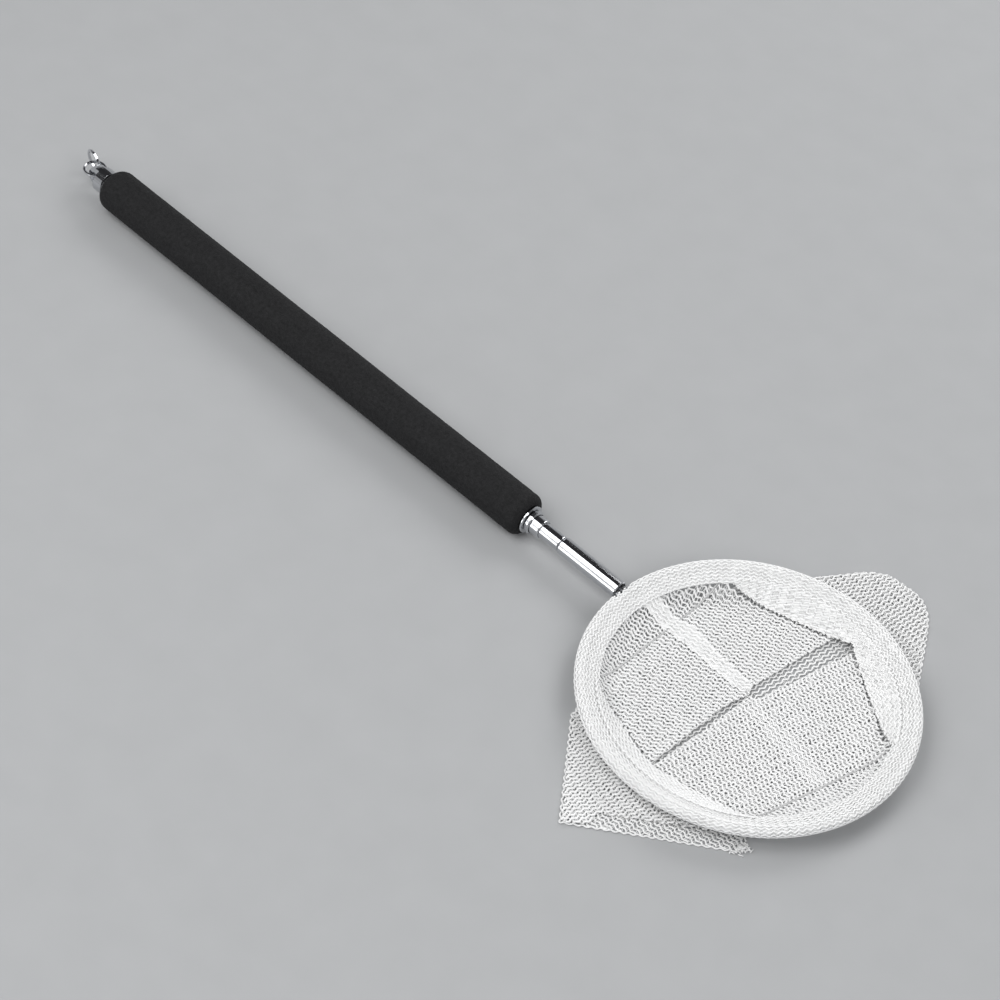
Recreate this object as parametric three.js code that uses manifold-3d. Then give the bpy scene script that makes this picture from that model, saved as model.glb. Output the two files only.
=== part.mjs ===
// Extendable fish net: a three-section telescopic handle with a foam grip, and a knitted mesh bag on a round hoop.
// Millimetres, +Z up. The origin is on the table under the hoop's centre, and the handle runs along -X.
import * as THREE from 'three';
import { mergeVertices } from 'three/addons/utils/BufferGeometryUtils.js';
import Module from 'manifold-3d';

const wasm = await Module();
wasm.setup();

// Clearances
const fitGap = 0.2; // round pieces that are fixed on each other
const runGap = 0.1; // friction bushes and rolled mouths, which slide and turn
const seatGap = 0.3; // faces that lie against each other

// Handle: places along X, then diameters
const hoopDiameter = 120; // outside of the bare wire
const wireDiameter = 2.4;
const hemSkin = 0.7;
const gripDiameter = 17;
const gripLength = 231;
const gripRearRound = 4.4;
const gripFrontRound = 3.2;
const outerTubeDiameter = 7.6;
const middleTubeDiameter = 6.3;
const innerTubeDiameter = 5.1;
const tubeWall = 0.3;
const mouthLip = 1.0;
const middleTubeShows = 9.2; // bare length between the outer tube's mouth and the end sleeve
const outerTubeShows = 4.1; // outer tube in front of the collar
const bushLength = 8;
const bushSlot = 0.8; // gap between the two half shells
const neckDepth = 0.4; // how far each sliding tube is drawn in under its bush
const neckTaper = 2;

// End sleeve
const sleeveDiameter = 7.0;
const sleeveLength = 28;
const sleeveWall = 0.75;
const wireInSleeve = 13;
const tubeInSleeve = 13;
const tailSpacing = 2.5; // centre to centre of the two wire tails
const tailBend = 2.5;

// Collars at the grip's ends
const frontWasherDiameter = 11.3;
const frontWasherThickness = 1.2;
const collarDiameter = 9.4;
const collarNeckDiameter = 8.6;
const collarNeckLength = 0.7;
const collarLength = 2.2;
const rearWasherDiameter = 10.5;
const rearWasherThickness = 1.0;

// Butt cap and its two rings
const capDiameter = 10.5;
const capBodyLength = 4.4;
const capDomeLength = 6.6;
const capSpigotLength = 8;
const capTongueThickness = 3.6;
const capHoleDiameter = 4.8;
const capHoleFromBody = 2.5;
const ringWireDiameter = 1.2;
const capRingDiameter = 9.7;
const hangRingDiameter = 10.6;
const capRingTurn = 21.8; // degrees that the cap ring's centre lies off the handle's line
const hangRingOffset = new THREE.Vector3(-4.84, 3.83, -1.46); // from the cap ring's centre
const hangRingNormal = new THREE.Vector3(0.216, 0.965, 0.136);

// Net: hem, bag, base and ears
const bagThickness = 0.8;
const hemBand = 9; // from the wire's centre to the hem's lower edge
const hemBite = 3.2; // how far the bag's edge reaches up into the hem
const hemSlope = 24; // degrees below level
const hemNeck = 1.4; // from the wire's surface to where the hem's two legs meet
const hemFoldFrom = 50; // degrees off the band where the fold leaves the legs
const hemFoldSteps = 7;
const wallClearance = 0.8; // from the hem's lower edge down to the wall's first bend
const bagTurn = -6.6; // degrees that the flattened bag is turned on the hoop
const floorWidth = hoopDiameter * 0.6833; // 82 between the two creases, across the slit
const floorCornerSpan = hoopDiameter * 0.55; // 66 along each crease
const slitLength = hoopDiameter * 0.7833; // 94
const slitRightWidth = 5.4;
const slitLeftWidth = 1.4;
const slitPinchWidth = 0.7;
const slitPinchAt = -3; // along the slit from the bag's centre
const slitLeftFullFrom = 18; // from the pinch to where the left part has its full width
const slitEndLength = 2; // the slit's right end is square for this length
const leftEarReach = 85; // from the bag's centre to the ear's tip
const leftEarWidth = 64; // where its square corner comes out from under the hoop
const rightEarReach = 88;
const rightEarRoot = 57; // from the bag's centre to where the ear comes out from under the hoop
const rightEarWidth = 57;
const rightEarBlunt = 18; // width of its blunt end
const rightEarSlant = 2.5; // how far one corner of the blunt end lies back
const rightEarShoulder = 0.2; // how far up its side the ear widens, as a share of its length
const earUpperScale = 0.96; // the ears' upper layers lie inside the lower ones
const earUpperInset = 1;
const earTipAt = 1; // tips lie this far past the slit's line
const baseThickness = 0.6;
const stripWidth = 6; // lower layer that sticks out along the left ear's front edge
const seamWidth = 12;
const seamEndWidth = 7;
const seamThickness = 0.5;
const seamBelowHem = [1.2, 0.5]; // in and down from the wall's first bend to the seam's upper end
const seamCreaseInset = 0.4;

// Facets
const roundSteps = 32;
const netSteps = 64;
const wireSides = 8;
const wireSteps = 130;
const ringSteps = 28;
const holeSteps = 20;

// Sizes that follow
const axisHeight = gripDiameter / 2;
const wireRadius = wireDiameter / 2;
const hoopRadius = hoopDiameter / 2 - wireRadius;
const hemInner = wireRadius + seatGap;
const hemOuter = hemInner + hemSkin;
const sleeveFront = -(hoopRadius + hemOuter) - seatGap;
const sleeveRear = sleeveFront - sleeveLength;
const outerMouth = sleeveRear - seatGap - middleTubeShows;
const collarFront = outerMouth - outerTubeShows;
const washerFront = collarFront - collarLength;
const gripFront = washerFront - frontWasherThickness;
const gripRear = gripFront - gripLength;
const capFront = gripRear - rearWasherThickness;
const outerRadius = outerTubeDiameter / 2;
const middleRadius = middleTubeDiameter / 2;
const innerRadius = innerTubeDiameter / 2;
const outerBore = outerRadius - tubeWall;
const middleBore = middleRadius - tubeWall;
const innerBore = innerRadius - tubeWall;
const spigotEnd = capFront + capSpigotLength;
const middleRear = spigotEnd + seatGap;
const middleMouth = sleeveRear - seatGap;
const innerRear = middleRear + bushLength + neckTaper + seatGap;
const innerFront = sleeveRear + tubeInSleeve;

// Helpers

function mesh(name, geometry, color, roughness, metalness) {
  const material = new THREE.MeshStandardMaterial({ color, roughness, metalness });
  const body = new THREE.Mesh(geometry, material);
  body.name = name;
  return body;
}

function chrome(name, geometry) {
  return mesh(name, geometry, 0xd8dade, 0.12, 1);
}

function brass(name, geometry) {
  return mesh(name, geometry, 0xc29a4b, 0.35, 1);
}

function netting(name, geometry) {
  return mesh(name, geometry, 0xf4f4f2, 0.85, 0);
}

// A closed profile of [x, radius] points, turned round the handle's axis. Points run so that the faces point out.
function turned(points) {
  const closed = [...points, points[0]];
  const profile = closed.map(([x, r]) => new THREE.Vector2(r, x));
  const geometry = new THREE.LatheGeometry(profile, roundSteps);
  geometry.rotateZ(-Math.PI / 2);
  geometry.translate(0, 0, axisHeight);
  return geometry;
}

function toSolid(geometry) {
  const plain = geometry.index ? geometry.clone() : mergeVertices(geometry.clone());
  plain.deleteAttribute('normal');
  plain.deleteAttribute('uv');
  const merged = mergeVertices(plain, 1e-4);
  return new wasm.Manifold(new wasm.Mesh({
    numProp: 3,
    vertProperties: new Float32Array(merged.attributes.position.array),
    triVerts: new Uint32Array(merged.index.array),
  }));
}

function fromSolid(solid) {
  const out = solid.getMesh();
  const geometry = new THREE.BufferGeometry();
  geometry.setAttribute('position', new THREE.BufferAttribute(new Float32Array(out.vertProperties), 3));
  geometry.setIndex(new THREE.BufferAttribute(new Uint32Array(out.triVerts), 1));
  return geometry;
}

// Points on a quarter round from one [x, r] corner tangent to the next
function quarter(centreX, centreR, radiusX, radiusR, fromDegrees, toDegrees, steps) {
  const points = [];
  for (let i = 0; i <= steps; i += 1) {
    const angle = THREE.MathUtils.degToRad(fromDegrees + (toDegrees - fromDegrees) * i / steps);
    points.push([centreX + radiusX * Math.cos(angle), centreR + radiusR * Math.sin(angle)]);
  }
  return points;
}

// A tube with a rolled-in mouth at its front and, if it slides, a drawn-in neck at its rear
function telescopeTube(rear, front, radius, lipRadius, necked) {
  const bore = radius - tubeWall;
  const outside = [];
  const inside = [];
  if (necked) {
    const neckEnd = rear + bushLength;
    outside.push([rear, radius - neckDepth], [neckEnd, radius - neckDepth], [neckEnd + neckTaper, radius]);
    inside.push([neckEnd + neckTaper, bore], [neckEnd, bore - neckDepth], [rear, bore - neckDepth]);
  } else {
    outside.push([rear, radius]);
    inside.push([rear, bore]);
  }
  outside.push(...quarter(front - mouthLip / 2, radius - mouthLip / 2, mouthLip / 2, mouthLip / 2, 90, 30, 3));
  const lip = [[front, lipRadius + tubeWall / 2], [front, lipRadius], [front - tubeWall, lipRadius]];
  const behindLip = [[front - mouthLip, bore]];
  return turned([...outside, ...lip, ...behindLip, ...inside]);
}

// Half of a split spring bush, a half ring less the slot
function halfBush(rear, innerR, outerR, isUpper) {
  const shape = new THREE.Shape();
  const steps = 12;
  const outerStart = Math.asin(bushSlot / 2 / outerR);
  const innerStart = Math.asin(bushSlot / 2 / innerR);
  for (let i = 0; i <= steps; i += 1) {
    const angle = outerStart + (Math.PI - 2 * outerStart) * i / steps;
    const point = [outerR * Math.cos(angle), outerR * Math.sin(angle)];
    if (i === 0) shape.moveTo(...point);
    else shape.lineTo(...point);
  }
  for (let i = steps; i >= 0; i -= 1) {
    const angle = innerStart + (Math.PI - 2 * innerStart) * i / steps;
    shape.lineTo(innerR * Math.cos(angle), innerR * Math.sin(angle));
  }
  const geometry = new THREE.ExtrudeGeometry(shape, { depth: bushLength - 2 * seatGap, bevelEnabled: false, steps: 1 });
  geometry.rotateZ(isUpper ? 0 : Math.PI);
  geometry.rotateX(Math.PI / 2);
  geometry.rotateZ(Math.PI / 2);
  geometry.translate(rear + seatGap, 0, axisHeight);
  return geometry;
}

// Handle pieces

function makeGrip() {
  const bore = outerRadius + fitGap;
  const half = gripDiameter / 2;
  return mesh('foam_grip', turned([
    [gripRear, bore],
    [gripRear, half - gripRearRound],
    ...quarter(gripRear + gripRearRound, half - gripRearRound, gripRearRound, gripRearRound, 165, 90, 5),
    ...quarter(gripFront - gripFrontRound, half - gripFrontRound, gripFrontRound, gripFrontRound, 90, 15, 4),
    [gripFront, half - gripFrontRound],
    [gripFront, bore],
  ]), 0x17181a, 0.95, 0);
}

function makeFrontWasher() {
  const bore = outerRadius + fitGap;
  const edge = 0.3;
  const rear = gripFront + seatGap;
  const front = washerFront;
  return chrome('front_washer', turned([
    [rear, bore],
    [rear, frontWasherDiameter / 2 - edge],
    [rear + edge, frontWasherDiameter / 2],
    [front - edge, frontWasherDiameter / 2],
    [front, frontWasherDiameter / 2 - edge],
    [front, bore],
  ]));
}

function makeCollar() {
  const bore = outerRadius + fitGap;
  const rear = washerFront + fitGap;
  const step = rear + collarNeckLength;
  const chamfer = 0.5;
  return chrome('front_collar', turned([
    [rear, bore],
    [rear, collarNeckDiameter / 2],
    [step, collarNeckDiameter / 2],
    [step, collarDiameter / 2 - chamfer / 2],
    [step + chamfer / 2, collarDiameter / 2],
    [collarFront - chamfer, collarDiameter / 2],
    [collarFront, collarDiameter / 2 - chamfer],
    [collarFront, bore],
  ]));
}

function makeRearWasher() {
  const bore = outerRadius + fitGap;
  const edge = 0.25;
  return chrome('rear_washer', turned([
    [capFront + seatGap, bore],
    [capFront + seatGap, rearWasherDiameter / 2 - edge],
    [capFront + seatGap + edge, rearWasherDiameter / 2],
    [gripRear - seatGap / 3 - edge, rearWasherDiameter / 2],
    [gripRear - seatGap / 3, rearWasherDiameter / 2 - edge],
    [gripRear - seatGap / 3, bore],
  ]));
}

function makeCap() {
  const radius = capDiameter / 2;
  const bodyRear = capFront - capBodyLength;
  const spigotRadius = outerBore - fitGap;
  const chamfer = 0.6;
  const domed = turned([
    [bodyRear - capDomeLength, 0],
    ...quarter(bodyRear, 0, capDomeLength, radius, 170, 90, 8),
    [capFront - chamfer / 2, radius],
    [capFront, radius - chamfer / 2],
    [capFront, spigotRadius],
    [spigotEnd - chamfer, spigotRadius],
    [spigotEnd, spigotRadius - chamfer],
    [spigotEnd, 0],
  ]);
  let solid = toSolid(domed);
  const sideDepth = radius;
  const flatLength = capDomeLength + 1;
  for (const side of [-1, 1]) {
    const cutter = new THREE.BoxGeometry(flatLength, sideDepth, capDiameter + 2);
    cutter.translate(bodyRear - flatLength / 2, side * (capTongueThickness / 2 + sideDepth / 2), axisHeight);
    solid = solid.subtract(toSolid(cutter));
  }
  const hole = new THREE.CylinderGeometry(capHoleDiameter / 2, capHoleDiameter / 2, capDiameter, holeSteps);
  hole.translate(bodyRear - capHoleFromBody, 0, axisHeight);
  solid = solid.subtract(toSolid(hole));
  return chrome('butt_cap', fromSolid(solid));
}

const capHole = new THREE.Vector3(capFront - capBodyLength - capHoleFromBody, 0, axisHeight);

function ringCentreOnCap() {
  const reach = (capRingDiameter - ringWireDiameter) / 2;
  const turn = THREE.MathUtils.degToRad(capRingTurn);
  return capHole.clone().add(new THREE.Vector3(-reach * Math.cos(turn), reach * Math.sin(turn), 0));
}

function wireRing(name, diameter, centre, normal) {
  const ringRadius = (diameter - ringWireDiameter) / 2;
  const geometry = new THREE.TorusGeometry(ringRadius, ringWireDiameter / 2, wireSides, ringSteps);
  const turn = new THREE.Quaternion().setFromUnitVectors(new THREE.Vector3(0, 0, 1), normal.clone().normalize());
  geometry.applyQuaternion(turn);
  geometry.translate(centre.x, centre.y, centre.z);
  return chrome(name, geometry);
}

// The sleeve is a plain tube with both edges eased
function makeSleeve() {
  const outer = sleeveDiameter / 2;
  const bore = outer - sleeveWall;
  const edge = 0.35;
  return chrome('end_sleeve', turned([
    [sleeveRear, bore],
    [sleeveRear, outer - edge],
    [sleeveRear + edge, outer],
    [sleeveFront - edge, outer],
    [sleeveFront, outer - edge],
    [sleeveFront, bore],
  ]));
}

// Hoop wire: a circle whose two ends bend outwards and run side by side into the sleeve
class HoopCurve extends THREE.Curve {
  constructor() {
    super();
    const side = tailSpacing / 2 + tailBend;
    this.bendX = -Math.sqrt((hoopRadius + tailBend) ** 2 - side ** 2);
    this.bendAngle = Math.asin(side / (hoopRadius + tailBend));
    this.tailLength = this.bendX - (sleeveFront - wireInSleeve);
    this.bendLength = (Math.PI / 2 - this.bendAngle) * tailBend;
    this.halfArc = (Math.PI - this.bendAngle) * hoopRadius;
    this.total = 2 * (this.tailLength + this.bendLength + this.halfArc);
  }

  getPoint(t, target = new THREE.Vector3()) {
    const fromMiddle = (t - 0.5) * this.total;
    const side = fromMiddle < 0 ? -1 : 1;
    const along = Math.abs(fromMiddle);
    if (along <= this.halfArc) {
      const angle = along / hoopRadius;
      return target.set(hoopRadius * Math.cos(angle), side * hoopRadius * Math.sin(angle), axisHeight);
    }
    if (along <= this.halfArc + this.bendLength) {
      const angle = (along - this.halfArc) / tailBend + this.bendAngle;
      const x = this.bendX + tailBend * Math.cos(angle);
      const y = tailSpacing / 2 + tailBend - tailBend * Math.sin(angle);
      return target.set(x, side * y, axisHeight);
    }
    const rest = along - this.halfArc - this.bendLength;
    return target.set(this.bendX - rest, side * tailSpacing / 2, axisHeight);
  }
}

function makeHoop() {
  const section = new THREE.Shape();
  for (let i = 0; i < wireSides; i += 1) {
    const angle = (i + 0.5) * 2 * Math.PI / wireSides;
    const point = [wireRadius * Math.cos(angle), wireRadius * Math.sin(angle)];
    if (i === 0) section.moveTo(...point);
    else section.lineTo(...point);
  }
  const curve = new HoopCurve();
  return mesh('hoop_wire', new THREE.ExtrudeGeometry(section, { steps: wireSteps, extrudePath: curve }), 0xb9bcc0, 0.3, 1);
}

// Net pieces

// Turned round the hoop's upright axis: [radius, z] points of a closed outline
function turnedNet(points) {
  const closed = [...points, points[0]].reverse();
  const profile = closed.map(([r, z]) => new THREE.Vector2(r, z));
  const geometry = new THREE.LatheGeometry(profile, netSteps);
  geometry.rotateX(Math.PI / 2);
  return geometry;
}

// Hem: a strip folded over the wire, whose two legs take the bag's edge between them
function makeHem() {
  const slope = THREE.MathUtils.degToRad(hemSlope);
  const along = [-Math.cos(slope), -Math.sin(slope)];
  const across = [Math.sin(slope), -Math.cos(slope)]; // down and out, square to the band
  const at = (a, c) => [hoopRadius + along[0] * a + across[0] * c, axisHeight + along[1] * a + across[1] * c];
  const legInner = bagThickness / 2 + seatGap;
  const legOuter = legInner + hemSkin;
  const neck = wireRadius + hemNeck;
  const foldAngle = (i) => THREE.MathUtils.degToRad(hemFoldFrom + (360 - 2 * hemFoldFrom) * i / hemFoldSteps);
  const outline = [at(hemBand, -legOuter), at(neck, -legOuter)];
  for (let i = 0; i <= hemFoldSteps; i += 1) {
    outline.push(at(hemOuter * Math.cos(foldAngle(i)), -hemOuter * Math.sin(foldAngle(i))));
  }
  outline.push(at(neck, legOuter), at(hemBand, legOuter), at(hemBand, legInner), at(neck, legInner));
  for (let i = hemFoldSteps; i >= 0; i -= 1) {
    outline.push(at(hemInner * Math.cos(foldAngle(i)), -hemInner * Math.sin(foldAngle(i))));
  }
  outline.push(at(neck, -legInner), at(hemBand, -legInner));
  const ring = toSolid(turnedNet(outline));
  const exitWidth = tailSpacing + 2 * tailBend + wireDiameter;
  const exit = new THREE.BoxGeometry(hemOuter * 2, exitWidth, wireDiameter + 2 * seatGap);
  exit.translate(-hoopRadius - hemOuter, 0, axisHeight);
  return netting('net_hem', fromSolid(ring.subtract(toSolid(exit))));
}

// Plan of the flattened bag's floor, in the bag's own turn: creases across the handle, points on the slit line
function floorCorners() {
  const w = floorWidth / 2;
  const s = floorCornerSpan / 2;
  const end = slitLength / 2;
  return [[w, -s], [w, s], [0, end], [-w, s], [-w, -s], [0, -end]];
}

function turnPoint([x, y]) {
  const angle = THREE.MathUtils.degToRad(bagTurn);
  return [x * Math.cos(angle) - y * Math.sin(angle), x * Math.sin(angle) + y * Math.cos(angle)];
}

// Distance from the centre to the floor's outline in a direction
function floorRadius(angle) {
  const corners = floorCorners().map(turnPoint);
  const dir = [Math.cos(angle), Math.sin(angle)];
  let best = Infinity;
  corners.forEach((a, i) => {
    const b = corners[(i + 1) % corners.length];
    const edge = [b[0] - a[0], b[1] - a[1]];
    const cross = dir[0] * edge[1] - dir[1] * edge[0];
    if (Math.abs(cross) < 1e-9) return;
    const reach = (a[0] * edge[1] - a[1] * edge[0]) / cross;
    const share = (a[0] * dir[1] - a[1] * dir[0]) / cross;
    if (reach > 0 && share >= -1e-9 && share <= 1 + 1e-9) best = Math.min(best, reach);
  });
  return best;
}

// The line that the bag's cloth follows in one direction: up in the hem, down the wall, across the floor
function bagLine(angle) {
  const slope = THREE.MathUtils.degToRad(hemSlope);
  const at = (a) => [hoopRadius - Math.cos(slope) * a, axisHeight - Math.sin(slope) * a];
  const floorZ = baseThickness + seatGap + bagThickness / 2;
  const crease = floorRadius(angle);
  return [at(hemBand - hemBite), at(hemBand + wallClearance), [crease, floorZ], [crease / 2, floorZ], [0, floorZ]];
}

// Both faces of a cloth line, half a thickness to each side, with mitred corners
function facesOf(line, thickness) {
  const normals = line.slice(1).map((p, i) => {
    const d = [p[0] - line[i][0], p[1] - line[i][1]];
    const length = Math.hypot(...d);
    return [d[1] / length, -d[0] / length];
  });
  const faces = [[], []];
  line.forEach((p, i) => {
    const a = normals[Math.max(i - 1, 0)];
    const b = normals[Math.min(i, normals.length - 1)];
    const sum = [a[0] + b[0], a[1] + b[1]];
    const scale = thickness / (sum[0] * sum[0] + sum[1] * sum[1]);
    faces[0].push([p[0] + sum[0] * scale, p[1] + sum[1] * scale]);
    faces[1].push([p[0] - sum[0] * scale, p[1] - sum[1] * scale]);
  });
  return faces;
}

function bagShell() {
  const positions = [];
  const index = [];
  const rings = facesOf(bagLine(0), bagThickness)[0].length - 1;
  for (let j = 0; j < netSteps; j += 1) {
    const angle = 2 * Math.PI * j / netSteps;
    const faces = facesOf(bagLine(angle), bagThickness);
    for (const face of faces) {
      for (let k = 0; k < rings; k += 1) {
        positions.push(face[k][0] * Math.cos(angle), face[k][0] * Math.sin(angle), face[k][1]);
      }
    }
  }
  const centre = positions.length / 3;
  const floorZ = baseThickness + seatGap + bagThickness / 2;
  positions.push(0, 0, floorZ + bagThickness / 2, 0, 0, floorZ - bagThickness / 2);
  const at = (j, face, k) => ((j + netSteps) % netSteps) * rings * 2 + face * rings + k;
  for (let j = 0; j < netSteps; j += 1) {
    for (let k = 0; k < rings - 1; k += 1) {
      index.push(at(j, 0, k), at(j + 1, 0, k), at(j + 1, 0, k + 1), at(j, 0, k), at(j + 1, 0, k + 1), at(j, 0, k + 1));
      index.push(at(j, 1, k), at(j + 1, 1, k + 1), at(j + 1, 1, k), at(j, 1, k), at(j, 1, k + 1), at(j + 1, 1, k + 1));
    }
    index.push(at(j, 0, 0), at(j, 1, 0), at(j + 1, 1, 0), at(j, 0, 0), at(j + 1, 1, 0), at(j + 1, 0, 0));
    index.push(at(j, 0, rings - 1), at(j + 1, 0, rings - 1), centre);
    index.push(at(j + 1, 1, rings - 1), at(j, 1, rings - 1), centre + 1);
  }
  const geometry = new THREE.BufferGeometry();
  geometry.setAttribute('position', new THREE.BufferAttribute(new Float32Array(positions), 3));
  geometry.setIndex(index);
  return geometry;
}

function plate(points, low, high) {
  const shape = new THREE.Shape(points.map(([x, y]) => new THREE.Vector2(x, y)));
  const geometry = new THREE.ExtrudeGeometry(shape, { depth: high - low, bevelEnabled: false, steps: 1 });
  geometry.translate(0, 0, low);
  return geometry;
}

function makeBag() {
  const end = slitLength / 2;
  const slit = [
    [0, -end],
    [slitLeftWidth / 2, slitPinchAt - slitLeftFullFrom],
    [slitPinchWidth / 2, slitPinchAt],
    [slitRightWidth / 2, end - slitEndLength],
    [slitRightWidth / 2, end],
    [-slitRightWidth / 2, end],
    [-slitRightWidth / 2, end - slitEndLength],
    [-slitPinchWidth / 2, slitPinchAt],
    [-slitLeftWidth / 2, slitPinchAt - slitLeftFullFrom],
  ].map(turnPoint);
  const cutter = plate(slit, baseThickness, baseThickness + seatGap + bagThickness + seatGap);
  return netting('net_bag', fromSolid(toSolid(bagShell()).subtract(toSolid(cutter))));
}

// Base: the lower floor layer with an ear at each end of the slit, and a second layer over each ear
function makeBase() {
  const w = floorWidth / 2;
  const s = floorCornerSpan / 2;
  const shoulder = (rightEarReach - rightEarRoot) * rightEarShoulder;
  const rightTip = [
    [rightEarWidth / 2, rightEarRoot],
    [earTipAt, rightEarReach],
    [earTipAt - rightEarBlunt, rightEarReach - rightEarSlant],
    [-rightEarWidth / 2, rightEarRoot + shoulder],
  ];
  const leftRoot = leftEarReach - (leftEarWidth / 2 - earTipAt);
  const leftTip = [
    [-leftEarWidth / 2, -leftRoot + 2 * earTipAt], [earTipAt, -leftEarReach], [leftEarWidth / 2, -leftRoot],
  ];
  const strip = [[w + stripWidth, -s - stripWidth], [w + stripWidth, -s]];
  const lower = [[w, s], ...rightTip, [-w, s], [-w, -s], ...leftTip, ...strip];
  const inset = stripWidth * Math.SQRT2;
  const leftOver = [
    [-leftEarWidth / 2 + earUpperInset, -leftRoot + 2 * earTipAt],
    [earTipAt - inset / 2, -leftEarReach + inset / 2 + earUpperInset],
    [leftEarWidth / 2 - inset / 2, -leftRoot - inset / 2],
    [leftEarWidth / 3, -slitLength / 2 - stripWidth],
  ];
  const rightOver = rightTip.map(([x, y]) => [x * earUpperScale, y - earUpperInset]);
  let solid = toSolid(plate(lower.map(turnPoint), 0, baseThickness));
  for (const over of [leftOver, rightOver]) {
    solid = solid.add(toSolid(plate(over.map(turnPoint), baseThickness / 2, baseThickness * 2)));
  }
  return netting('net_base', fromSolid(solid));
}

// Seam: a doubled strip from the hem down the handle-side wall and along the floor to the slit
function makeSeam() {
  const angle = THREE.MathUtils.degToRad(180 + bagTurn);
  const line = bagLine(angle).slice(1, 4);
  const hemEnd = line[0];
  const wall = [hemEnd[0] - seamBelowHem[0], hemEnd[1] - seamBelowHem[1]];
  const raise = bagThickness / 2 + seatGap + seamThickness / 2;
  const crease = line[1];
  const end = [slitRightWidth, crease[1]]; // clear of the slit
  const faces = facesOf([wall, crease, end], seamThickness);
  const shift = ([r, z], k) => [r - (k === 1 ? seamCreaseInset : 0), z + raise];
  const positions = [];
  const widths = [seamWidth, (seamWidth + seamEndWidth) / 2, seamEndWidth];
  for (let k = 0; k < 3; k += 1) {
    for (const face of faces) {
      for (const side of [-1, 1]) {
        const [r, z] = shift(face[k], k);
        const y = side * widths[k] / 2;
        positions.push(r * Math.cos(angle) - y * Math.sin(angle), r * Math.sin(angle) + y * Math.cos(angle), z);
      }
    }
  }
  // Each station has four corners: upper right, upper left, lower right, lower left
  const index = [];
  const quad = (a, b, c, d) => index.push(a, b, c, a, c, d);
  for (let k = 0; k < 2; k += 1) {
    const a = 4 * k;
    const b = a + 4;
    quad(a, a + 1, b + 1, b);
    quad(a + 2, b + 2, b + 3, a + 3);
    quad(a + 1, a + 3, b + 3, b + 1);
    quad(a, b, b + 2, a + 2);
  }
  quad(0, 2, 3, 1);
  quad(8, 9, 11, 10);
  const geometry = new THREE.BufferGeometry();
  geometry.setAttribute('position', new THREE.BufferAttribute(new Float32Array(positions), 3));
  geometry.setIndex(index);
  return netting('side_seam', geometry);
}

// Assembly

const handle = new THREE.Group();
handle.add(
  makeGrip(),
  chrome('outer_tube', telescopeTube(capFront + seatGap, outerMouth, outerRadius, middleRadius + runGap, false)),
  makeFrontWasher(),
  makeCollar(),
  makeRearWasher(),
  makeCap(),
);

const middleSection = new THREE.Group();
middleSection.add(
  chrome('middle_tube', telescopeTube(middleRear, middleMouth, middleRadius, innerRadius + runGap, true)),
  brass('middle_bush_upper', halfBush(middleRear, middleRadius - neckDepth + runGap, outerBore - runGap, true)),
  brass('middle_bush_lower', halfBush(middleRear, middleRadius - neckDepth + runGap, outerBore - runGap, false)),
);

const innerSection = new THREE.Group();
innerSection.add(
  chrome('inner_tube', telescopeTube(innerRear, innerFront, innerRadius, innerBore, true)),
  brass('inner_bush_upper', halfBush(innerRear, innerRadius - neckDepth + runGap, middleBore - runGap, true)),
  brass('inner_bush_lower', halfBush(innerRear, innerRadius - neckDepth + runGap, middleBore - runGap, false)),
  makeSleeve(),
);

const net = new THREE.Group();
net.add(makeHoop(), makeHem(), makeBag(), makeBase(), makeSeam());

const capRingCentre = ringCentreOnCap();
const hanger = new THREE.Group();
hanger.add(
  wireRing('cap_ring', capRingDiameter, capRingCentre, new THREE.Vector3(0, 0, 1)),
  wireRing('hang_ring', hangRingDiameter, capRingCentre.clone().add(hangRingOffset), hangRingNormal),
);

const part = new THREE.Group();
part.add(handle, middleSection, innerSection, net, hanger);

export default part;
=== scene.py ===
# Extendable fish net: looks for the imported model. Metres, in the model's own frame, and millimetres
# where a heading says so.
import math

import bpy
import numpy as np
from mathutils import Matrix, Vector


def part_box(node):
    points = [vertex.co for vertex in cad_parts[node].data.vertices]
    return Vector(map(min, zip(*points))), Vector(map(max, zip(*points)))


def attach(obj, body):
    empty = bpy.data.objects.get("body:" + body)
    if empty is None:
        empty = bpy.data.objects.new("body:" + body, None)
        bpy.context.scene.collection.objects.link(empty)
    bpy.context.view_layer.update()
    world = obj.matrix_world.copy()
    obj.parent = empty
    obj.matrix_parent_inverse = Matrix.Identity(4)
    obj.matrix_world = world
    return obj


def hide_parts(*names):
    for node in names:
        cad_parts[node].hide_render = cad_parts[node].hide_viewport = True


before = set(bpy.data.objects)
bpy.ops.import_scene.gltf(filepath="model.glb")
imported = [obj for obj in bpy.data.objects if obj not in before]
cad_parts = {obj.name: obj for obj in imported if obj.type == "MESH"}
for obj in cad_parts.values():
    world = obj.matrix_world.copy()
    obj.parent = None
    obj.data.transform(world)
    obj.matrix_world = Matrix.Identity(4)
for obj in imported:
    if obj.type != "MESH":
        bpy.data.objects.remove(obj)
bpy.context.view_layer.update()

MM = 0.001
TINY = 1e-9
SLACK = 1e-6
FAR_OFF = 1e3

# Camera, solved from the hoop's ellipse and the handle's line in the photograph: angles in degrees,
# distance in metres, lens and sensor in millimetres
CAMERA_ELEVATION = 46.71
CAMERA_AZIMUTH = -52.24
CAMERA_ROLL = 9.15
CAMERA_DISTANCE = 1.0497
CAMERA_TARGET = Vector((-0.12434, 0.00464, 0.0))
CAMERA_LENS = 103.05
CAMERA_SENSOR = 36.0
CAMERA_CLIP = 0.01

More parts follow.
